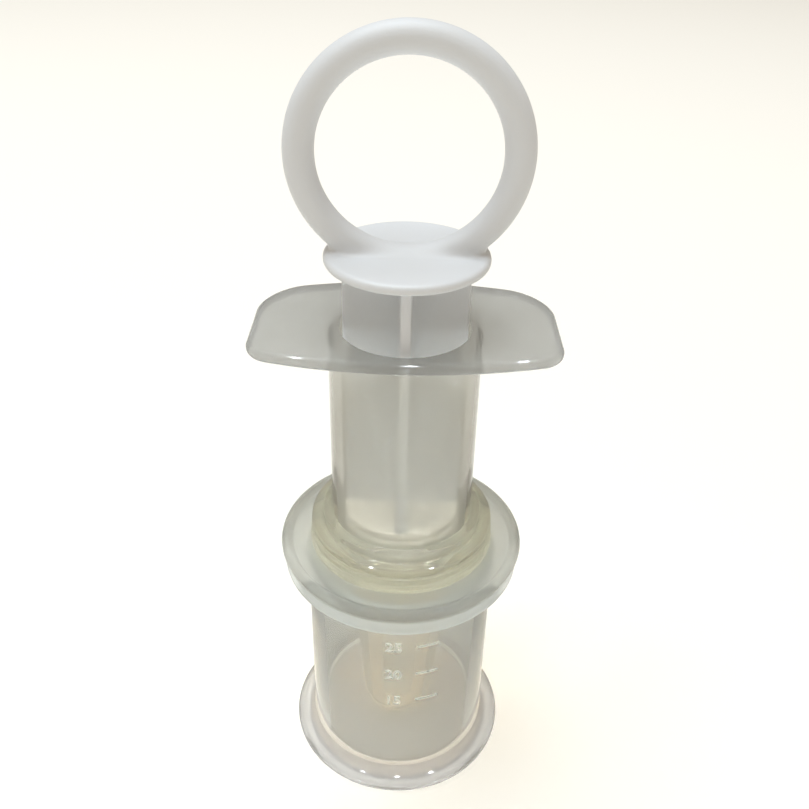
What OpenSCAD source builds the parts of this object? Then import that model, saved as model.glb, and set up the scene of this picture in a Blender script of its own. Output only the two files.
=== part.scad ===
/* [Cup] */
// Outer radius of the cup wall
cup_r = 16.6; // [16:0.1:18]
// Wall thickness of the cup
cup_wall = 1.2; // [1:0.1:1.6]
// Height of the cup rim above the table
cup_h = 44; // [43:0.5:46]
// Thickness of the cup floor
cup_floor = 1.3; // [1:0.1:1.6]
// Radius of the spread foot
foot_r = 20.2; // [19.5:0.1:22]
// Thickness of the foot at its edge
foot_edge = 1.1; // [0.9:0.1:1.4]
// Height at which the foot has swept up to the wall
foot_rise = 4.2; // [3.5:0.1:6]
// Volume between two marks, in millilitres
mark_step_ml = 5; // [5:5:10]
// Number of marks
mark_count = 3; // [1:1:3]
// Volume at the lowest mark, in millilitres
first_mark_ml = 15; // [5:5:15]

/* [Shield] */
// Outer radius of the shield
shield_r = 21.2; // [21:0.1:23]
// Radius of the two beads that run round the shield's rim
rim_bead = 1; // [0.8:0.05:1.1]
// Height that the rim stands above the shield plate
rim_rise = 0.8; // [0.5:0.1:1]
// Thickness of the shield plate
shield_t = 2.6; // [2.4:0.1:3]
// Depth of the socket that takes the cup rim
socket_depth = 2.1; // [1.8:0.1:2.5]

/* [Nipple] */
// Outer radius of the collar that holds the barrel
collar_r = 16; // [15.5:0.1:16.2]
// Height of the collar above the shield
collar_h = 5; // [4.5:0.1:5.5]
// Outer radius of the thin sleeve above the collar
sleeve_r = 13.7; // [13.3:0.1:14]
// Height of the sleeve above the shield
sleeve_h = 6.7; // [6.2:0.1:7]
// Outer radius of the stem just under the shield
stem_top_r = 9.4; // [9:0.1:9.7]
// Outer radius of the stem near its tip
stem_tip_r = 6.9; // [6.5:0.1:7.5]
// Height of the rounded tip above the table
tip_z = 2.7; // [2.4:0.1:3.5]
// Thickness of the silicone
silicone_t = 1.2; // [1:0.1:1.4]
// Radius of the outlet hole
outlet_r = 0.6; // [0.5:0.1:0.9]

/* [Barrel] */
// Outer radius of the barrel
barrel_r = 12; // [11.8:0.1:12.2]
// Bore radius of the barrel
bore_r = 10.2; // [10:0.1:10.4]
// Height of the top face of the finger flange
flange_z = 88.3; // [86:0.1:90]
// Thickness of the finger flange
flange_t = 2; // [1.6:0.1:2.6]
// Half width of the finger flange
flange_x = 23.7; // [22:0.1:26]
// Reach of the flange to the front
flange_front = 12.6; // [12.4:0.1:14]
// Reach of the flange to the back
flange_back = 16; // [15:0.1:18]
// Bore radius of the spout
spout_bore_r = 1.2; // [1:0.1:1.5]

/* [Plunger] */
// Radius of the thumb plate
plate_r = 12.4; // [12:0.1:13]
// Height of the top face of the thumb plate
plate_z = 100.4; // [99:0.1:101]
// Thickness of the thumb plate
plate_t = 1.6; // [1.4:0.1:2]
// Radius of the thumb ring to the middle of its bar
ring_r = 15.4; // [14:0.1:16]
// Radius of the thumb ring's round bar
ring_bar = 2.23; // [2:0.01:2.6]
// Height of the thumb ring's middle
ring_z = 114.6; // [113:0.1:115]
// Half width of the cross-shaped rod
rod_r = 9.7; // [9:0.1:9.8]
// Thickness of the rod's four ribs
rib_t = 1.6; // [1.4:0.1:2]

/* [Hidden] */
$fn = 96;

// Running clearance between parts that slide or turn on each other
run_gap = 0.05;
// Depth to which joined shapes run into each other
join = 0.5;
// Steps along each rounded stretch of an outline
arc_steps = 8;

// Cup
cup_in = cup_r - cup_wall;
floor_fillet = 2;
foot_land = 0.4;
mark_len = 4;
mark_w = 0.4;
mark_proud = 0.15;
mark_x = 5.2;

// Shield, standing on the cup rim
shield_z = cup_h + shield_t;
hole_r = 10;
socket_lead = 0.4;
rim_taper = 0.5;

// Nipple, sitting on the shield
seat_z = shield_z + 0.8;
sleeve_top = shield_z + sleeve_h;
collar_top = shield_z + collar_h;
collar_ribs = 3;
rib_arc = 15;
rib_step_in = 0.15;
bead = 0.8;
bead_h = 1;
bead_lead = 0.4;
sleeve_root = 0.3;
sleeve_round = 0.5;
stem_in_top = stem_top_r - silicone_t;
tip_round = 4.4;

// Barrel, standing in the collar
barrel_floor = 1.2;
bore_z = seat_z + barrel_floor;
spout_top_r = 4.2;
spout_tip_r = 3.3;
spout_z = 6;
flange_front_bow = 77;
flange_back_bow = 65;
flange_front_corner = 3;
flange_back_corner = 7;

// Piston and plunger, at the bottom of the stroke
seal_z = bore_z + 0.2;
seal_h = 4.2;
seal_r = bore_r - run_gap;
lip_h = 1;
lip_cut = 0.5;
disc_z = seal_z + seal_h;
disc_t = 1.55;
disc_r = 9.8;
boss_r = 3.2;
boss_h = 2.8;
boss_head_r = 4.6;
boss_head_h = 1.2;

// Points on an arc from angle a0 to a1 about (x, y)
function arc(x, y, r, a0, a1, steps = arc_steps) =
    [for (i = [0:steps]) let (a = a0 + (a1 - a0) * i / steps) [x + r * cos(a), y + r * sin(a)]];

// Height of a millilitre volume above the table, allowing for the floor fillet
function mark_z(ml) =
    let (lost = (PI * cup_in * floor_fillet ^ 2) * (2 - PI / 2))
    cup_floor + (ml * 1000 + lost) / (PI * cup_in ^ 2);

// How far a rounded corner of radius r has drawn in at distance x from the middle
function corner(x, r) =
    let (past = abs(x) - (flange_x - r))
    past <= 0 ? 0 : r - sqrt(max(0, r ^ 2 - past ^ 2));

// Drop of a shallow bow of radius r at distance x from its middle
function bow(x, r) = r - sqrt(r ^ 2 - x ^ 2);

// Places across the flange, closer together towards its corners
function across(steps) = [for (i = [0:steps]) -flange_x * cos(180 * i / steps)];

module marks() {
    for (i = [0:mark_count - 1]) {
        z = mark_z(first_mark_ml + i * mark_step_ml);
        intersection() {
            translate([0, 0, z - mark_w / 2])
                cylinder(r = cup_r + mark_proud, h = mark_w);
            translate([mark_x - mark_len / 2, -cup_r - 1, z - mark_w])
                cube([mark_len, cup_r, mark_w * 2]);
        }
    }
}

module cup_shell() {
    sweep_r = foot_r - cup_r - foot_land;
    rotate_extrude()
        polygon(concat(
            [[0, 0]],
            arc(foot_r - foot_edge / 2, foot_edge / 2, foot_edge / 2, -90, 90),
            arc(cup_r + sweep_r, foot_rise, sweep_r, 258, 180),
            arc(cup_r - cup_wall / 2, cup_h - cup_wall / 2, cup_wall / 2, 0, 180, 6),
            arc(cup_in - floor_fillet, cup_floor + floor_fillet, floor_fillet, 0, -90),
            [[0, cup_floor]]
        ));
}

module measuring_cup() {
    color([0.86, 0.87, 0.84, 0.6]) {
        cup_shell();
        difference() {
            marks();
            cylinder(r = cup_r - cup_wall / 2, h = cup_h);
        }
    }
}

module shield() {
    socket_in = cup_r + 0.3;
    socket_z = cup_h - socket_depth;
    bead_r = shield_r - rim_bead;
    color([0.80, 0.82, 0.77, 0.9])
        rotate_extrude()
            polygon(concat(
                [[hole_r, cup_h], [socket_in, cup_h]],
                [[socket_in, socket_z + socket_lead], [socket_in + socket_lead, socket_z]],
                arc(bead_r - rim_taper, socket_z + rim_bead, rim_bead, -90, 60),
                arc(bead_r, shield_z + rim_rise - rim_bead, rim_bead, -60, 110, 10),
                [[bead_r - rim_bead, shield_z], [hole_r, shield_z]]
            ));
}

module nipple() {
    hold_r = barrel_r + run_gap / 2;
    stem_in_tip = stem_tip_r - silicone_t;
    in_round = tip_round - silicone_t;
    rib_h = collar_h / collar_ribs;
    rib_bow = rib_h / 2 / sin(rib_arc);
    color([0.88, 0.83, 0.66, 0.7])
        difference() {
            rotate_extrude()
                polygon(concat(
                    [[0, tip_z]],
                    arc(stem_tip_r - tip_round, tip_z + tip_round, tip_round, -90, 0),
                    [[stem_top_r, cup_h - bead_h - bead_lead]],
                    [[hole_r + bead, cup_h - bead_h], [hole_r + bead, cup_h]],
                    [[hole_r, cup_h], [hole_r, shield_z]],
                    [for (i = [0:collar_ribs - 1])
                        each arc(collar_r - rib_bow - i * rib_step_in, shield_z + (i + 0.5) * rib_h,
                                 rib_bow, -rib_arc, rib_arc, 4)],
                    [[sleeve_r + sleeve_root, collar_top], [sleeve_r, collar_top + sleeve_root]],
                    arc(sleeve_r - sleeve_round, sleeve_top - sleeve_round, sleeve_round, 0, 90, 4),
                    [[hold_r, sleeve_top], [hold_r, seat_z], [stem_in_top, seat_z]],
                    arc(stem_in_tip - in_round, tip_z + silicone_t + in_round, in_round, 0, -90),
                    [[0, tip_z + silicone_t]]
                ));
            translate([0, 0, tip_z - 1])
                cylinder(r = outlet_r, h = silicone_t + 2);
        }
}

module flange_plate() {
    xs = across(28);
    linear_extrude(height = flange_t)
        polygon(concat(
            [for (x = xs) [x, -flange_front + bow(x, flange_front_bow) + corner(x, flange_front_corner)]],
            [for (i = [len(xs) - 1:-1:0]) let (x = xs[i])
                [x, flange_back - bow(x, flange_back_bow) - corner(x, flange_back_corner)]]
        ));
}

module barrel() {
    color([0.80, 0.82, 0.77, 0.85])
        difference() {
            union() {
                translate([0, 0, seat_z])
                    cylinder(r = barrel_r, h = flange_z - seat_z);
                translate([0, 0, spout_z])
                    cylinder(r1 = spout_tip_r, r2 = spout_top_r, h = seat_z - spout_z + join);
                translate([0, 0, flange_z - flange_t])
                    flange_plate();
            }
            translate([0, 0, bore_z])
                cylinder(r = bore_r, h = flange_z);
            translate([0, 0, spout_z - 1])
                cylinder(r = spout_bore_r, h = bore_z - spout_z + 2);
        }
}

module piston_seal() {
    groove_r = seal_r - 0.9;
    color([0.90, 0.90, 0.87])
        translate([0, 0, seal_z])
            difference() {
                rotate_extrude()
                    polygon([
                        [0, 0], [seal_r - lip_cut, 0], [seal_r, lip_h / 2], [seal_r, lip_h],
                        [groove_r, lip_h + lip_cut], [groove_r, seal_h - lip_h - lip_cut],
                        [seal_r, seal_h - lip_h], [seal_r, seal_h - lip_h / 2],
                        [seal_r - lip_cut, seal_h], [0, seal_h]
                    ]);
                translate([0, 0, seal_h - boss_h - run_gap])
                    cylinder(r = boss_head_r + run_gap, h = boss_head_h + run_gap * 2);
                translate([0, 0, seal_h - boss_h])
                    cylinder(r = boss_r + run_gap, h = boss_h + 1);
            }
}

module boss() {
    translate([0, 0, disc_z - boss_h])
        cylinder(r = boss_head_r, h = boss_head_h);
    translate([0, 0, disc_z - boss_h])
        cylinder(r = boss_r, h = boss_h + join);
}

module cross_rod() {
    for (turn = [0, 90])
        rotate([0, 0, turn])
            translate([-rod_r, -rib_t / 2, disc_z + disc_t / 2])
                cube([rod_r * 2, rib_t, plate_z - disc_z - disc_t / 2 - plate_t / 2]);
}

module thumb_plate() {
    translate([0, 0, plate_z - plate_t])
        rotate_extrude()
            polygon(concat(
                [[0, 0]],
                arc(plate_r - plate_t / 2, plate_t / 2, plate_t / 2, -90, 90),
                [[0, plate_t]]
            ));
}

module thumb_ring() {
    difference() {
        translate([0, 0, ring_z])
            rotate([90, 0, 0])
                rotate_extrude()
                    translate([ring_r, 0])
                        circle(r = ring_bar, $fn = 48);
        translate([-plate_r, -plate_r, plate_z - plate_t - 10])
            cube([plate_r * 2, plate_r * 2, 10 + plate_t / 2]);
    }
}

module plunger() {
    color([0.96, 0.96, 0.95]) {
        boss();
        translate([0, 0, disc_z])
            cylinder(r = disc_r, h = disc_t);
        cross_rod();
        thumb_plate();
        thumb_ring();
    }
}

measuring_cup();
shield();
nipple();
barrel();
piston_seal();
plunger();
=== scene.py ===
"""A ring-handled medicine dispenser standing nose-down in its own measuring cup.

Profiles are in millimetres, as (radius, height) or (x, y, z); every mesh is written out in metres.
"""

import math

import bmesh
import bpy
import numpy as np
import openvdb
from mathutils import Euler, Matrix, Vector


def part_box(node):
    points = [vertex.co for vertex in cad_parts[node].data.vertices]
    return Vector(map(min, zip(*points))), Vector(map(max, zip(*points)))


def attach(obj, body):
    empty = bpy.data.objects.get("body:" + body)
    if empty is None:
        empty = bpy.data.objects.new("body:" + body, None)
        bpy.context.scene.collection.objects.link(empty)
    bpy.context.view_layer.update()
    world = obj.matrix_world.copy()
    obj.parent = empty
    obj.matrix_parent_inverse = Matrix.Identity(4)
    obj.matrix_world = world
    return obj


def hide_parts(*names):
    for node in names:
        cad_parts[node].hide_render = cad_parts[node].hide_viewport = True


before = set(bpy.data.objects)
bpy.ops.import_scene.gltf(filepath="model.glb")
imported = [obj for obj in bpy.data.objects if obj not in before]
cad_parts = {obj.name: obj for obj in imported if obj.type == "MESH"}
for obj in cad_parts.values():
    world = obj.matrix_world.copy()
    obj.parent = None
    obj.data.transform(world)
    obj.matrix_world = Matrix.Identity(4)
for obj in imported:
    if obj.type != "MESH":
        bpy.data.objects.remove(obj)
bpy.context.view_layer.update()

MM = 0.001
SEGMENTS = 192


# ---------------------------------------------------------------- sizes, in millimetres
#
# A name's end tells what it is: _R a radius, _X a half width or a place across, _T or _H a thickness
# or height, and _Z, _TOP or _FLOOR a height over the table. Outermost sizes are read from the CAD.

def node_box(node):
    """Lowest and highest corner of a CAD node, in millimetres."""
    low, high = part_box(node)
    return low / MM, high / MM


CUP_HIGH = node_box("measuring_cup")[1]
SHIELD_LOW, SHIELD_HIGH = node_box("shield")
NIPPLE_LOW, NIPPLE_HIGH = node_box("nipple")
BARREL_LOW, BARREL_HIGH = node_box("barrel")
SEAL_LOW, SEAL_HIGH = node_box("piston_seal")
PLUNGER_LOW, PLUNGER_HIGH = node_box("plunger")

FOOT_R = CUP_HIGH.x
CUP_TOP = CUP_HIGH.z
CUP_R = 16.6
CUP_WALL = 1.2
CUP_FLOOR = 1.3
CUP_BORE = CUP_R - CUP_WALL
CUP_FILLET = 2.0
FOOT_EDGE = 1.1
FOOT_RISE = 4.2
FOOT_SHADE_TOP = 3.6
MARK_VOLUMES = (15, 20, 25)
MARK_PROUD = 0.15
MARK_SUNK = -0.03
MARK_X = 5.2
NUMBER_X = -0.8

SHIELD_R = SHIELD_HIGH.x
SHIELD_HOLE = 10.0
SHIELD_TOP = CUP_TOP + 2.6
RIM_TOP = SHIELD_HIGH.z
RIM_FOOT = SHIELD_LOW.z
RIM_BEAD = 1.0
RIM_TAPER = 0.5

TIP_Z = NIPPLE_LOW.z
SLEEVE_TOP = NIPPLE_HIGH.z
COLLAR_R = 16.0
COLLAR_TOP = SHIELD_TOP + 5.0
SLEEVE_R = 13.7
STEM_TOP_R = 9.4
STEM_TIP_R = 6.9
TIP_ROUND = 4.4
OUTLET_R = 0.6
SKIN = 1.2
SEAT_Z = SHIELD_TOP + 0.8

SPOUT_Z = BARREL_LOW.z
FLANGE_TOP = BARREL_HIGH.z
FLANGE_X = BARREL_HIGH.x
FLANGE_FRONT = 12.6
FLANGE_BACK = BARREL_HIGH.y
FLANGE_T = 2.0
BARREL_R = 12.0
BORE_R = 10.2
BORE_FLOOR = SEAT_Z + 1.2
SPOUT_BORE_R = 1.2
SPOUT_TIP_R = 3.3
SPOUT_TOP_R = 4.2

SEAL_R = SEAL_HIGH.x
RING_X = PLUNGER_HIGH.x
RING_TOP = PLUNGER_HIGH.z
RING_BAR = 2.23
RING_R = RING_X - RING_BAR
RING_Z = RING_TOP - RING_X
PLATE_R = PLUNGER_HIGH.y
PLATE_T = 1.6
PLATE_TOP = 100.4
ROD_R = 9.7
RIB_T = 1.6
DISC_R = 9.8
DISC_T = 1.55
DISC_Z = SEAL_HIGH.z
BOSS_Z = PLUNGER_LOW.z
BOSS_R = 3.2
BOSS_HEAD_R = 4.6
BOSS_HEAD_H = 1.2
BOSS_GAP = 0.05

# The reference view, in metres and degrees, and the lens in millimetres of a 36 mm sensor
CAMERA_PLACE = (0.0001, -0.12264, 0.15245)
CAMERA_DOWN = 32.73
CAMERA_ROLL = 1.3
CAMERA_LENS = 39.87

# Lamps in metres and watts; the front ones are (degrees round from the camera, watts)
LIT_POINT = (0, 0, 0.07)
OVERHEAD_PLACE, OVERHEAD_SIZE, OVERHEAD_POWER = (-0.35, 0.1, 2.2), 1.6, 48
FRONT_LAMPS = ((-46, 0.4), (2, 0.7), (50, 0.3))
FRONT_REACH, FRONT_HEIGHT, FRONT_SIZE = 0.65, 1.1, 0.3
GLINT_SIZE, GLINT_POWER = 0.04, 60.0
OVERHEAD_TINT, FRONT_TINT, GLINT_TINT = (0.84, 0.93, 1.0), (1.0, 0.95, 0.86), (0.88, 0.94, 1.0)
BOUNCES = 28


# ---------------------------------------------------------------- outlines

def rounded(corners):
    """A closed outline through (x, y, radius) corners, each rounded to its radius.

    A corner with no radius, or one that hardly bends, stays as it is.
    """
    steps = 6
    straight = math.radians(89)
    points = []
    count = len(corners)
    for i, (x, y, radius) in enumerate(corners):
        here = Vector((x, y))
        before = Vector(corners[i - 1][:2]) - here
        after = Vector(corners[(i + 1) % count][:2]) - here
        half = before.angle(after) / 2
        if radius <= 0 or half > straight:
            points.append((x, y))
            continue
        reach = min(radius / math.tan(half), before.length * 0.49, after.length * 0.49)
        radius = reach * math.tan(half)
        bisector = (before.normalized() + after.normalized()).normalized()
        centre = here + bisector * (radius / math.sin(half))
        start = here + before.normalized() * reach - centre
        end = here + after.normalized() * reach - centre
        turn = start.angle_signed(end)
        for k in range(steps + 1):
            spoke = start.copy()
            spoke.rotate(Matrix.Rotation(-turn * k / steps, 2))
            points.append(tuple(centre + spoke))
    return points


def arc(x, y, radius, start, end, steps=10):
    """Unrounded corners along an arc about (x, y), from one angle to another in degrees."""
    angles = [math.radians(start + (end - start) * i / steps) for i in range(steps + 1)]
    return [(x + radius * math.cos(a), y + radius * math.sin(a), 0) for a in angles]


# ---------------------------------------------------------------- meshes

def new_piece(name, points, faces, material):
    """A smooth-shaded mesh object from points in millimetres.

    Clear and milky pieces also join the collection that the glint lamps shine on.
    """
    mesh = bpy.data.meshes.new(name)
    scaled = [tuple(float(c) * MM for c in p) for p in points]
    mesh.from_pydata(scaled, [], [tuple(int(i) for i in f) for f in faces])
    mesh.validate()
    mesh.shade_smooth()
    mesh.materials.append(material)
    piece = bpy.data.objects.new(name, mesh)
    bpy.context.scene.collection.objects.link(piece)
    if material not in (WHITE, SEAL):
        bpy.data.collections["glossy_pieces"].objects.link(piece)
    return piece


def face_outwards(piece):
    """Turns the faces of a closed mesh so that its volume is positive."""
    work = bmesh.new()
    work.from_mesh(piece.data)
    bmesh.ops.recalc_face_normals(work, faces=work.faces)
    if work.calc_volume(signed=True) < 0:
        bmesh.ops.reverse_faces(work, faces=work.faces)
    work.to_mesh(piece.data)
    work.free()


def lathe(name, outline, material):
    """Turns a closed (radius, height) outline about Z. Points on the axis become poles."""
    points, rows, faces = [], [], []
    for radius, height in outline:
        if radius < 1e-6:
            rows.append([len(points)] * SEGMENTS)
            points.append((0, 0, height))
            continue
        rows.append(list(range(len(points), len(points) + SEGMENTS)))
        for i in range(SEGMENTS):
            a = 2 * math.pi * i / SEGMENTS
            points.append((radius * math.cos(a), radius * math.sin(a), height))
    for k, row in enumerate(rows):
        following = rows[(k + 1) % len(rows)]
        for i in range(SEGMENTS):
            j = (i + 1) % SEGMENTS
            corners = list(dict.fromkeys((row[i], row[j], following[j], following[i])))
            if len(corners) > 2:
                faces.append(corners)
    piece = new_piece(name, points, faces, material)
    face_outwards(piece)
    return piece


def loft(name, loops, material):
    """Joins rings of points, each an N by 3 array, into one closed skin."""
    size = len(loops[0])
    faces = []
    for k in range(len(loops)):
        here, there = k * size, (k + 1) % len(loops) * size
        for i in range(size):
            j = (i + 1) % size
            faces.append((here + i, here + j, there + j, there + i))
    piece = new_piece(name, np.concatenate(loops), faces, material)
    face_outwards(piece)
    return piece


def from_distance(name, distance, low, high, pitch, material):
    """Meshes the zero surface of a distance function, then draws each point onto it."""
    start = [low[i] - 3 * pitch for i in range(3)]
    axes = [np.arange(start[i], high[i] + 3 * pitch, pitch, dtype=np.float32) for i in range(3)]
    values = distance(*np.meshgrid(*axes, indexing="ij")).astype(np.float32)
    field = openvdb.FloatGrid(background=float(values.max()))
    field.copyFromArray(values)
    points, triangles, quads = field.convertToPolygons(isovalue=0.0, adaptivity=0.0)
    points = np.array(start) + points * pitch
    small = pitch * 0.05
    for _ in range(4):
        x, y, z = points.T
        level = distance(x, y, z)
        slope = np.stack([
            distance(x + small, y, z) - distance(x - small, y, z),
            distance(x, y + small, z) - distance(x, y - small, z),
            distance(x, y, z + small) - distance(x, y, z - small),
        ], axis=1) / (2 * small)
        steepness = np.maximum((slope ** 2).sum(axis=1), 0.2)
        move = slope * (level / steepness)[:, None]
        points = points - np.clip(move, -pitch * 0.5, pitch * 0.5)
    piece = new_piece(name, points, [*triangles, *quads], material)
    face_outwards(piece)
    return piece


def belongs(piece, body, slot, *nodes):
    """Puts a piece on its body and hides the CAD nodes that it stands for. The slot is not used."""
    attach(piece, body)
    if nodes:
        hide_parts(*nodes)


# ---------------------------------------------------------------- materials

class Nodes:
    """A short way to build a node tree."""

    def __init__(self, material):
        material.use_nodes = True
        self.tree = material.node_tree
        self.tree.nodes.clear()

    def add(self, kind, **settings):
        """Adds a node. Settings are its properties, or its inputs by name with spaces as __."""
        node = self.tree.nodes.new(kind)
        for key, value in settings.items():
            name = key.replace("__", " ")
            if name in node.inputs:
                self.feed(node.inputs[name], value)
            else:
                setattr(node, key, value)
        return node

    def feed(self, socket, value):
        """Links a node or socket to an input, or sets the input's own value."""
        if isinstance(value, bpy.types.Node):
            value = value.outputs[0]
        if isinstance(value, bpy.types.NodeSocket):
            self.tree.links.new(value, socket)
        else:
            socket.default_value = value


MIX_A, MIX_B = 6, 7  # the two colour inputs of a Mix node


def rgba(colour, gain=1.0):
    """A colour with full alpha, made lighter or darker by gain."""
    return (*[min(1.0, c * gain) for c in colour], 1.0)


def moulded(name, colour, rough, clear=0.0, ior=1.49, spread=0.04, grain=0.0, wave=0.0,
            soft=0.0, scuffs=0.03, gloss=0.5, glow=0.0, shade=None, deep=None, low=None):
    """A moulded plastic or silicone.

    clear is the share of light that goes through, spread how much the roughness varies, grain
    the strength of the fine mould texture, wave the strength of slow unevenness in the moulding,
    soft the scattering under the surface, scuffs how much rougher the fine upright handling
    marks are, gloss the strength of reflections, and glow the share of light that is scattered
    through. With shade, a colour, lamps shine straight through, tinted by it. With deep, a colour
    and a density in 1 / m, thick stretches take on that tint. With low, a colour and two heights
    in metres, the piece has that colour below the first height and its own above the second.
    """
    tone = 0.03
    material = bpy.data.materials.new(name)
    n = Nodes(material)
    place = n.add("ShaderNodeTexCoord").outputs["Object"]
    clouds = n.add("ShaderNodeTexNoise", Vector=place, Scale=70.0, Detail=3.0)
    tint = n.add("ShaderNodeMix", data_type="RGBA")
    n.feed(tint.inputs["Factor"], clouds.outputs["Fac"])
    n.feed(tint.inputs[MIX_A], rgba(colour, 1 - tone))
    n.feed(tint.inputs[MIX_B], rgba(colour, 1 + tone))
    shown = tint.outputs[2]
    if low:
        low_colour, start, end = low
        height = n.add("ShaderNodeSeparateXYZ", Vector=place).outputs["Z"]
        share = n.add("ShaderNodeMapRange", Value=height, From__Min=start, From__Max=end)
        base = n.add("ShaderNodeMix", data_type="RGBA")
        n.feed(base.inputs["Factor"], share)
        n.feed(base.inputs[MIX_A], rgba(low_colour))
        n.feed(base.inputs[MIX_B], shown)
        shown = base.outputs[2]

    haze = n.add("ShaderNodeTexNoise", Vector=place, Scale=120.0, Detail=3.0, Roughness=0.5)
    base_rough = n.add("ShaderNodeMapRange", Value=haze, From__Min=0.3, From__Max=0.7,
                       To__Min=rough - spread, To__Max=rough + spread)
    stretch = n.add("ShaderNodeMapping", Vector=place)
    stretch.inputs["Scale"].default_value = (1.0, 1.0, 0.04)
    lines = n.add("ShaderNodeTexNoise", Vector=stretch, Scale=1500.0, Detail=2.0)
    marks = n.add("ShaderNodeMapRange", Value=lines, From__Min=0.55, From__Max=0.75,
                  To__Min=0.0, To__Max=scuffs)
    total = n.add("ShaderNodeMath", operation="ADD", use_clamp=True)
    n.feed(total.inputs[0], base_rough)
    n.feed(total.inputs[1], marks)

    fine = n.add("ShaderNodeTexNoise", Vector=place, Scale=2600.0, Detail=3.0, Roughness=0.6)
    texture = n.add("ShaderNodeBump", Strength=grain, Distance=0.00005, Height=fine)
    slow = n.add("ShaderNodeTexNoise", Vector=place, Scale=110.0, Detail=1.0)
    bump = n.add("ShaderNodeBump", Strength=wave, Distance=0.0005, Height=slow, Normal=texture)

    shader = n.add("ShaderNodeBsdfPrincipled", Base__Color=shown, Roughness=total,
                   Normal=bump)
    shader.inputs["IOR"].default_value = ior
    shader.inputs["Transmission Weight"].default_value = clear
    shader.inputs["Specular IOR Level"].default_value = gloss
    if soft:
        shader.inputs["Subsurface Weight"].default_value = soft
        shader.inputs["Subsurface Radius"].default_value = (1.0, 0.9, 0.8)
        shader.inputs["Subsurface Scale"].default_value = 0.0012
    if glow:
        through = n.add("ShaderNodeBsdfTranslucent", Color=shown)
        mix = n.add("ShaderNodeMixShader")
        mix.inputs[0].default_value = glow
        n.feed(mix.inputs[1], shader)
        n.feed(mix.inputs[2], through)
        shader = mix
    if shade:
        passed = n.add("ShaderNodeBsdfTransparent")
        passed.inputs["Color"].default_value = rgba(shade)
        ray = n.add("ShaderNodeLightPath").outputs["Is Shadow Ray"]
        mix = n.add("ShaderNodeMixShader", Fac=ray)
        n.feed(mix.inputs[1], shader)
        n.feed(mix.inputs[2], passed)
        shader = mix
    output = n.add("ShaderNodeOutputMaterial", Surface=shader)
    if deep:
        deep_colour, density = deep
        tinted = n.add("ShaderNodeVolumeAbsorption")
        tinted.inputs["Color"].default_value = rgba(deep_colour)
        tinted.inputs["Density"].default_value = density
        n.feed(output.inputs["Volume"], tinted)
    return material


WHITE = moulded("white_plastic", (0.69, 0.71, 0.735), rough=0.45, soft=0.15, grain=0.5, wave=0.05)
# The end disc and boss are painted paler and warmer than the rest of the same white moulding:
# painted light falling on the disc's top.
LIT_DISC_PAINT = moulded("disc_painted_light_plastic", (0.97, 0.94, 0.86), rough=0.45, grain=0.5)
# The barrel is one moulding: its flange takes a darker grey copy of the milky plastic, painted
# shade, and its tube and spout a lighter copy.
FLANGE_SHADED_MILKY = moulded("milky_plastic", (0.395, 0.395, 0.385), rough=0.07, clear=0.70, ior=1.13,
                wave=0.03, gloss=1.0, glow=0.12, shade=(0.88, 0.84, 0.79))
TUBE_MILKY = moulded("tube_milky_plastic", (0.60, 0.595, 0.555), rough=0.09, clear=0.65, ior=1.06,
                     spread=0.0, scuffs=0.0, gloss=1.0, shade=(0.86, 0.82, 0.77))
# Below 44.5 mm the rim's lower bead is painted a lighter, bluish white: painted highlight where that
# bead catches the light.
SHIELD_MILKY = moulded("shield_milky_plastic", (0.405, 0.405, 0.37), rough=0.05, clear=0.66,
                       ior=1.08, spread=0.02, wave=0.03, gloss=1.0, glow=0.05,
                       shade=(0.90, 0.87, 0.83), low=((0.67, 0.685, 0.67), 0.0445, 0.0458))
# The cup's floor is painted a darker beige below 1.5 mm, fading to its own colour by 4 mm: painted
# shade, standing in for the shaded table seen through it.
CLEAR = moulded("clear_plastic", (0.605, 0.615, 0.60), rough=0.06, clear=0.74, ior=1.07,
                spread=0.0, scuffs=0.0, gloss=1.0, shade=(0.92, 0.90, 0.88),
                low=((0.42, 0.395, 0.36), 0.0015, 0.0040))
# A darker, hazier copy of the cup's clear plastic for its foot: painted shade, as the foot is the
# same moulding.
FOOT_SHADED_CLEAR = moulded("foot_shaded_clear_plastic", (0.38, 0.375, 0.365), rough=0.06, clear=0.62, ior=1.10,
                    spread=0.0, scuffs=0.0, gloss=1.0, glow=0.10, shade=(0.84, 0.82, 0.81))
MARKS = moulded("frosted_marks", (0.79, 0.80, 0.77), rough=0.30, clear=0.64, ior=1.03, glow=0.08,
                shade=(0.92, 0.88, 0.84))
# Below 36 mm, the stem inside the cup is painted a paler, warmer colour, fading to its own above 46
# mm: painted light, as it is the same silicone throughout.
SILICONE = moulded("clear_silicone", (0.74, 0.735, 0.70), rough=0.05, clear=0.84, ior=1.17,
                   spread=0.02, scuffs=0.01, gloss=1.0, glow=0.08, shade=(0.96, 0.94, 0.89),
                   deep=((0.60, 0.58, 0.46), 140), low=((0.95, 0.88, 0.76), 0.036, 0.046))
SEAL = moulded("seal_silicone", (0.72, 0.71, 0.64), rough=0.35, soft=0.3, grain=0.3)


# ---------------------------------------------------------------- measuring cup

def mark_height(millilitres):
    """The height of a volume in the cup, allowing for the rounded corner of its floor."""
    lost = math.pi * CUP_BORE * CUP_FILLET ** 2 * (2 - math.pi / 2)
    return CUP_FLOOR + (millilitres * 1000 + lost) / (math.pi * CUP_BORE ** 2)


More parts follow.
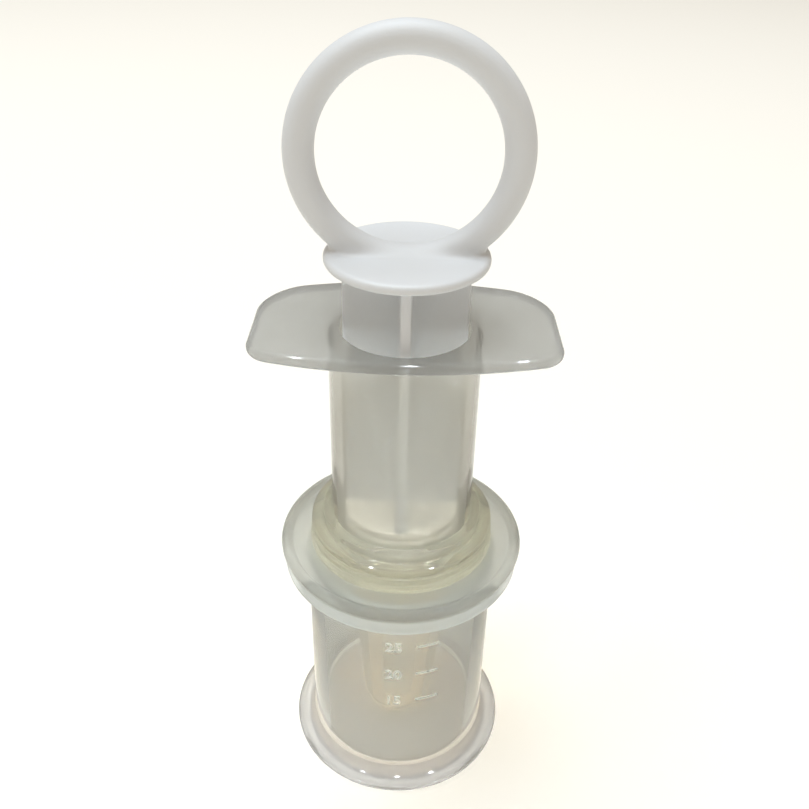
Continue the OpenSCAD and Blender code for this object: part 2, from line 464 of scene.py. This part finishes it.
def make_cup():
    """The clear cup, with its spread foot in a darker, hazier copy of the cup's plastic (painted
    shade), a shallow hollow under it and a rounded rim.
    """
    sweep = FOOT_R - CUP_R - 0.4
    hollow_z, hollow_r, rest_r = 0.25, 17.2, 17.8
    outline = [
        (0, hollow_z, 0), (hollow_r, hollow_z, 0.2), (rest_r, 0, 0.3), (FOOT_R, 0, 0.45),
        (FOOT_R, FOOT_EDGE, 0.5), *arc(CUP_R + sweep, FOOT_RISE, sweep, 262, 182),
        (CUP_R, CUP_TOP, 0.55), (CUP_BORE, CUP_TOP, 0.55), (CUP_BORE, CUP_FLOOR, CUP_FILLET),
        (0, CUP_FLOOR, 0),
    ]
    cup = lathe("measuring_cup_body", rounded(outline), CLEAR)
    cup.data.materials.append(FOOT_SHADED_CLEAR)
    # Faces of the foot, outside the wall and low down, take the darker copy: painted shade.
    for face in cup.data.polygons:
        if face.center.z < FOOT_SHADE_TOP * MM and face.center.xy.length > (CUP_R + 0.2) * MM:
            face.material_index = 1
    belongs(cup, "cup", "clear_plastic", "measuring_cup")


def wrapped(x, y, out):
    """A point x along and y up the cup's front wall, standing out of it by out."""
    angle = x / CUP_R - math.pi / 2
    radius = CUP_R + out
    return (radius * math.cos(angle), radius * math.sin(angle), y)


def make_number(name, text, middle, height):
    """A raised number on the cup's wall."""
    tall = 2.1
    digit_share = 0.7  # a digit's height over the font's size
    curve = bpy.data.curves.new(name, "FONT")
    curve.body = text
    curve.size = tall / digit_share
    curve.align_x = "CENTER"
    curve.offset = 0.03
    curve.extrude = 0.5
    curve.resolution_u = 6
    stand_in = bpy.data.objects.new(name, curve)
    flat = bpy.data.meshes.new_from_object(stand_in)
    points = [
        wrapped(middle + v.co.x, height - tall / 2 + v.co.y,
                MARK_PROUD if v.co.z > 0 else MARK_SUNK)
        for v in flat.vertices
    ]
    number = new_piece(name, points, [tuple(p.vertices) for p in flat.polygons], MARKS)
    number.data.shade_flat()
    face_outwards(number)
    bpy.data.objects.remove(stand_in)
    belongs(number, "cup", "clear_plastic")


def make_tick(name, middle, height):
    """A short raised line across the cup's wall, with sloped edges."""
    length, width, shoulder = 4.0, 0.4, 0.09
    section = [
        (-width / 2, MARK_SUNK), (-width / 2, shoulder), (-width / 4, MARK_PROUD),
        (width / 4, MARK_PROUD), (width / 2, shoulder), (width / 2, MARK_SUNK),
    ]
    size = len(section)
    steps = 12
    points = []
    for i in range(steps + 1):
        x = middle - length / 2 + length * i / steps
        points += [wrapped(x, height + up, out) for up, out in section]
    faces = [tuple(reversed(range(size))), tuple(range(steps * size, (steps + 1) * size))]
    for i in range(0, steps * size, size):
        for k in range(size):
            m = (k + 1) % size
            faces.append((i + k, i + m, i + size + m, i + size + k))
    tick = new_piece(name, points, faces, MARKS)
    face_outwards(tick)
    belongs(tick, "cup", "clear_plastic")


# ---------------------------------------------------------------- shield and nipple

def make_shield():
    """The round plate with two beads round its rim and a socket for the cup's rim."""
    inner = CUP_R + 0.3
    upper_r, upper_z = SHIELD_R - RIM_BEAD, RIM_TOP - RIM_BEAD
    lower_r, lower_z = upper_r - RIM_TAPER, RIM_FOOT + RIM_BEAD
    waist_r = (upper_r + lower_r) / 2 + RIM_BEAD / 2
    outline = [
        (SHIELD_HOLE, CUP_TOP, 0.25), (inner, CUP_TOP, 0.2), (inner, RIM_FOOT, 0.4),
        *arc(lower_r, lower_z, RIM_BEAD, -90, 40),
        (waist_r, (upper_z + lower_z) / 2, 1.2),
        *arc(upper_r, upper_z, RIM_BEAD, -40, 110),
        (upper_r - RIM_BEAD, SHIELD_TOP, 0.5), (SHIELD_HOLE, SHIELD_TOP, 0.3),
    ]
    shield = lathe("shield_plate", rounded(outline), SHIELD_MILKY)
    belongs(shield, "teat", "milky_plastic", "shield")


def make_nipple():
    """Sleeve, ribbed collar, neck, bead and hollow stem in one silicone moulding."""
    hold = BARREL_R + 0.025
    rib_count, rib_arc, rib_step = 3, 15, 0.15
    rib = (COLLAR_TOP - SHIELD_TOP) / rib_count
    bead_r, bead_h = SHIELD_HOLE + 0.8, 1.1
    tip_in = TIP_ROUND - SKIN
    stem_in_tip, stem_in_top = STEM_TIP_R - SKIN, STEM_TOP_R - SKIN
    bow = rib / 2 / math.sin(math.radians(rib_arc))
    ribs = []
    for i in range(rib_count):
        ribs += arc(COLLAR_R - bow - i * rib_step, SHIELD_TOP + (i + 0.5) * rib, bow,
                    -rib_arc, rib_arc, 5)
    outline = [
        (OUTLET_R, TIP_Z, 0.1),
        *arc(STEM_TIP_R - TIP_ROUND, TIP_Z + TIP_ROUND, TIP_ROUND, -86, 0),
        (STEM_TOP_R, CUP_TOP - bead_h - 0.4, 0.5), (bead_r, CUP_TOP - bead_h, 0.4),
        (bead_r, CUP_TOP, 0.2), (SHIELD_HOLE, CUP_TOP, 0.1),
        (SHIELD_HOLE, SHIELD_TOP, 0.1), (COLLAR_R - 0.6, SHIELD_TOP, 0.1), *ribs,
        (SLEEVE_R, COLLAR_TOP - 0.1, 0.5), (SLEEVE_R, SLEEVE_TOP, 0.45),
        (hold, SLEEVE_TOP, 0.3), (hold, SEAT_Z, 0.2), (stem_in_top, SEAT_Z, 0.4),
        *arc(stem_in_tip - tip_in, TIP_Z + TIP_ROUND, tip_in, 0, -80, 8),
        (OUTLET_R, TIP_Z + SKIN, 0.1),
    ]
    nipple = lathe("nipple_moulding", rounded(outline), SILICONE)
    belongs(nipple, "teat", "clear_silicone", "nipple")


# ---------------------------------------------------------------- barrel

def flange_outline(count):
    """The flange's D-shaped outline and its outward normals, as two N by 2 arrays."""
    front_bow, back_bow = 77.0, 65.0
    front_corner, back_corner = 3.0, 7.0
    dense = 4000
    across = -FLANGE_X * np.cos(np.linspace(0, math.pi, dense))

    def edge(reach, bow, corner):
        past = np.maximum(np.abs(across) - (FLANGE_X - corner), 0)
        drawn_in = corner - np.sqrt(np.maximum(corner ** 2 - past ** 2, 0))
        return reach - (bow - np.sqrt(bow ** 2 - across ** 2)) - drawn_in

    front = np.stack([across, -edge(FLANGE_FRONT, front_bow, front_corner)], axis=1)
    back = np.stack([across, edge(FLANGE_BACK, back_bow, back_corner)], axis=1)[::-1]
    path = np.concatenate([front, back, front[:1]])
    run = np.concatenate([[0], np.cumsum(np.linalg.norm(np.diff(path, axis=0), axis=1))])
    stops = np.linspace(0, run[-1], count, endpoint=False)
    points = np.stack([np.interp(stops, run, path[:, i]) for i in range(2)], axis=1)
    along = np.roll(points, -1, axis=0) - np.roll(points, 1, axis=0)
    normals = np.stack([along[:, 1], -along[:, 0]], axis=1)
    return points, normals / np.linalg.norm(normals, axis=1)[:, None]


def make_barrel():
    """Tube, D-shaped finger flange and long spout, as one skin.

    In the corners, a radius near rim is a place on the flange: how far it falls short of rim is
    how far the point lies inside the flange's outline.
    """
    count = 320
    rim = 100.0
    edge = 0.85
    clearance = 0.05
    underside = FLANGE_TOP - FLANGE_T
    points, normals = flange_outline(count)
    angles = np.arctan2(points[:, 1], points[:, 0])
    spokes = np.stack([np.cos(angles), np.sin(angles)], axis=1)
    corners = [
        (SPOUT_BORE_R, SPOUT_Z, 0.2), (SPOUT_TIP_R, SPOUT_Z, 0.5), (SPOUT_TOP_R, SEAT_Z, 0.8),
        (BARREL_R, SEAT_Z, 0.5), (BARREL_R, underside, 0.5), (rim, underside, edge),
        (rim, FLANGE_TOP, edge), (BORE_R, FLANGE_TOP, 0.4), (BORE_R, BORE_FLOOR, 0.6),
        (SPOUT_BORE_R, BORE_FLOOR, 0.3),
    ]
    loops = []
    for radius, height in rounded(corners):
        if radius > rim / 2:
            flat = points - normals * (rim - radius)
            reach = np.linalg.norm(flat, axis=1)
            least = BARREL_R + clearance if height < FLANGE_TOP - FLANGE_T / 2 else 0.0
            flat = flat * (np.maximum(reach, least) / reach)[:, None]
        else:
            flat = spokes * radius
        loops.append(np.column_stack([flat, np.full(count, height)]))
    barrel = loft("barrel_tube", loops, FLANGE_SHADED_MILKY)
    # The flange keeps the darker grey, painted shade; the tube and spout below it take the lighter
    # copy.
    barrel.data.materials.append(TUBE_MILKY)
    for face in barrel.data.polygons:
        if face.center.z < underside * MM:
            face.material_index = 1
    belongs(barrel, "barrel", "milky_plastic", "barrel")


# ---------------------------------------------------------------- piston and plunger

def make_seal():
    """The soft piston: two sealing lips and a waist, with a socket for the plunger's boss."""
    low, high = SEAL_LOW.z, SEAL_HIGH.z
    lip, waist, chamfer = 1.0, SEAL_R - 0.9, SEAL_R - 0.4
    neck, head = BOSS_R + BOSS_GAP, BOSS_HEAD_R + BOSS_GAP
    socket_low, socket_high = BOSS_Z - BOSS_GAP, BOSS_Z + BOSS_HEAD_H + BOSS_GAP
    outline = [
        (0, low, 0), (chamfer, low, 0.4), (SEAL_R, low + lip / 2, 0.3), (SEAL_R, low + lip, 0.2),
        (waist, low + lip + 0.5, 0.4), (waist, high - lip - 0.5, 0.4), (SEAL_R, high - lip, 0.2),
        (SEAL_R, high - lip / 2, 0.3), (chamfer, high, 0.3), (neck, high, 0.15),
        (neck, socket_high, 0.1), (head, socket_high, 0.15), (head, socket_low, 0.2),
        (0, socket_low, 0),
    ]
    seal = lathe("piston_seal_ring", rounded(outline), SEAL)
    belongs(seal, "piston", "seal_silicone", "piston_seal")


def blend_min(a, b, width):
    """The union of two distances, with a fillet about width across."""
    share = np.clip(0.5 + 0.5 * (b - a) / width, 0, 1)
    return b * (1 - share) + a * share - width * share * (1 - share)


def disc_distance(x, y, z, radius, low, high, edge):
    """Distance to a flat disc whose edges are rounded."""
    out = np.hypot(x, y) - radius + edge
    up = np.abs(z - (low + high) / 2) - (high - low) / 2 + edge
    outside = np.hypot(np.maximum(out, 0), np.maximum(up, 0))
    return outside + np.minimum(np.maximum(out, up), 0) - edge


def slab_distance(x, y, z, half_x, half_y, low, high, edge):
    """Distance to a box with rounded edges."""
    a = np.abs(x) - half_x + edge
    b = np.abs(y) - half_y + edge
    c = np.abs(z - (low + high) / 2) - (high - low) / 2 + edge
    outside = np.sqrt(np.maximum(a, 0) ** 2 + np.maximum(b, 0) ** 2 + np.maximum(c, 0) ** 2)
    return outside + np.minimum(np.maximum(np.maximum(a, b), c), 0) - edge


def plunger_distance(x, y, z):
    """The white moulding: ring, thumb plate, cross-shaped rod, end disc and headed boss."""
    fillet, ring_fillet = 0.6, 1.5
    ring = np.hypot(np.hypot(x, z - RING_Z) - RING_R, y) - RING_BAR
    ring = np.maximum(ring, PLATE_TOP - PLATE_T / 2 - z)
    plate = disc_distance(x, y, z, PLATE_R, PLATE_TOP - PLATE_T, PLATE_TOP, 0.75)
    handle = blend_min(ring, plate, ring_fillet)
    rod_low, rod_high = DISC_Z + DISC_T / 2, PLATE_TOP - PLATE_T / 2
    across = slab_distance(x, y, z, ROD_R, RIB_T / 2, rod_low, rod_high, 0.4)
    along = slab_distance(x, y, z, RIB_T / 2, ROD_R, rod_low, rod_high, 0.4)
    rod = blend_min(across, along, fillet)
    disc = disc_distance(x, y, z, DISC_R, DISC_Z, DISC_Z + DISC_T, 0.4)
    head = disc_distance(x, y, z, BOSS_HEAD_R, BOSS_Z, BOSS_Z + BOSS_HEAD_H, 0.3)
    neck = disc_distance(x, y, z, BOSS_R, BOSS_Z + 0.3, DISC_Z + DISC_T / 2, 0.2)
    lower = np.minimum(blend_min(disc, rod, fillet), np.minimum(head, neck))
    return blend_min(handle, lower, fillet)


def make_plunger():
    """The white plunger, with its end disc and boss painted paler and warmer: painted light,
    standing in for the light that falls on the disc's top.
    """
    pitch = 0.32
    painted_light_top = DISC_Z + DISC_T + 0.05
    plunger = from_distance("plunger_moulding", plunger_distance, PLUNGER_LOW, PLUNGER_HIGH,
                            pitch, WHITE)
    # Faces below the disc's top take the paler paint: painted light.
    plunger.data.materials.append(LIT_DISC_PAINT)
    for face in plunger.data.polygons:
        if face.center.z < painted_light_top * MM:
            face.material_index = 1
    belongs(plunger, "plunger", "white_plastic", "plunger")


# ---------------------------------------------------------------- stage

def make_camera():
    """The camera at the height and tilt of the reference view."""
    data = bpy.data.cameras.new("camera")
    data.sensor_width = 36.0
    data.lens = CAMERA_LENS
    data.clip_start = 0.005
    camera = bpy.data.objects.new("camera", data)
    tilt = Euler((math.radians(90 - CAMERA_DOWN), 0, 0)).to_matrix()
    roll = Matrix.Rotation(math.radians(CAMERA_ROLL), 3, "Z")
    camera.matrix_world = Matrix.Translation(CAMERA_PLACE) @ (tilt @ roll).to_4x4()
    bpy.context.scene.collection.objects.link(camera)
    bpy.context.scene.camera = camera


def add_area(name, place, size, power, colour):
    """A square lamp at place, facing the middle of the object."""
    data = bpy.data.lights.new(name, "AREA")
    data.size = size
    data.energy = power
    data.color = colour
    light = bpy.data.objects.new(name, data)
    light.location = place
    light.rotation_euler = (Vector(LIT_POINT) - Vector(place)).to_track_quat("-Z", "Y").to_euler()
    bpy.context.scene.collection.objects.link(light)
    return light


def make_floor():
    """A plain pale floor."""
    floor_mesh = bpy.data.meshes.new("floor")
    half = 4.0
    floor_mesh.from_pydata([(-half, -half, 0), (half, -half, 0), (half, half, 0), (-half, half, 0)],
                           [], [(0, 1, 2, 3)])
    floor = bpy.data.objects.new("floor", floor_mesh)
    bpy.context.scene.collection.objects.link(floor)
    paint = bpy.data.materials.new("floor_paint")
    n = Nodes(paint)
    shader = n.add("ShaderNodeBsdfPrincipled", Roughness=0.7)
    shader.inputs["Base Color"].default_value = (0.97, 0.94, 0.88, 1)
    n.add("ShaderNodeOutputMaterial", Surface=shader)
    floor_mesh.materials.append(paint)


def make_lights():
    """A pale surround, a large lamp overhead, and small front lamps each with a glint lamp.

    The glint lamps show only as reflections, and only in the clear and milky pieces.
    """
    world = bpy.data.worlds.new("surround")
    bpy.context.scene.world = world
    world.use_nodes = True
    back = world.node_tree.nodes["Background"]
    back.inputs["Color"].default_value = (1.0, 0.85, 0.67, 1)
    back.inputs["Strength"].default_value = 0.40

    glossy = bpy.data.collections.new("glossy_pieces")
    add_area("overhead", OVERHEAD_PLACE, OVERHEAD_SIZE, OVERHEAD_POWER, OVERHEAD_TINT)
    for i, (turn, power) in enumerate(FRONT_LAMPS):
        across, towards = math.sin(math.radians(turn)), math.cos(math.radians(turn))
        place = (FRONT_REACH * across, -FRONT_REACH * towards, FRONT_HEIGHT)
        add_area(f"front_{i}", place, FRONT_SIZE, power, FRONT_TINT)
        glint = add_area(f"glint_{i}", place, GLINT_SIZE, GLINT_POWER, GLINT_TINT)
        glint.visible_diffuse = False
        glint.visible_transmission = False
        glint.visible_volume_scatter = False
        glint.light_linking.receiver_collection = glossy
    bpy.context.scene.view_settings.view_transform = "Standard"
    bpy.context.scene.cycles.max_bounces = BOUNCES
    bpy.context.scene.cycles.transmission_bounces = BOUNCES
    bpy.context.scene.cycles.transparent_max_bounces = BOUNCES


make_camera()
make_floor()
make_lights()
make_cup()
for volume in MARK_VOLUMES:
    level = mark_height(volume)
    make_number(f"cup_number_{volume}", str(volume), NUMBER_X, level)
    make_tick(f"cup_mark_{volume}", MARK_X, level)
make_shield()
make_nipple()
make_barrel()
make_seal()
make_plunger()
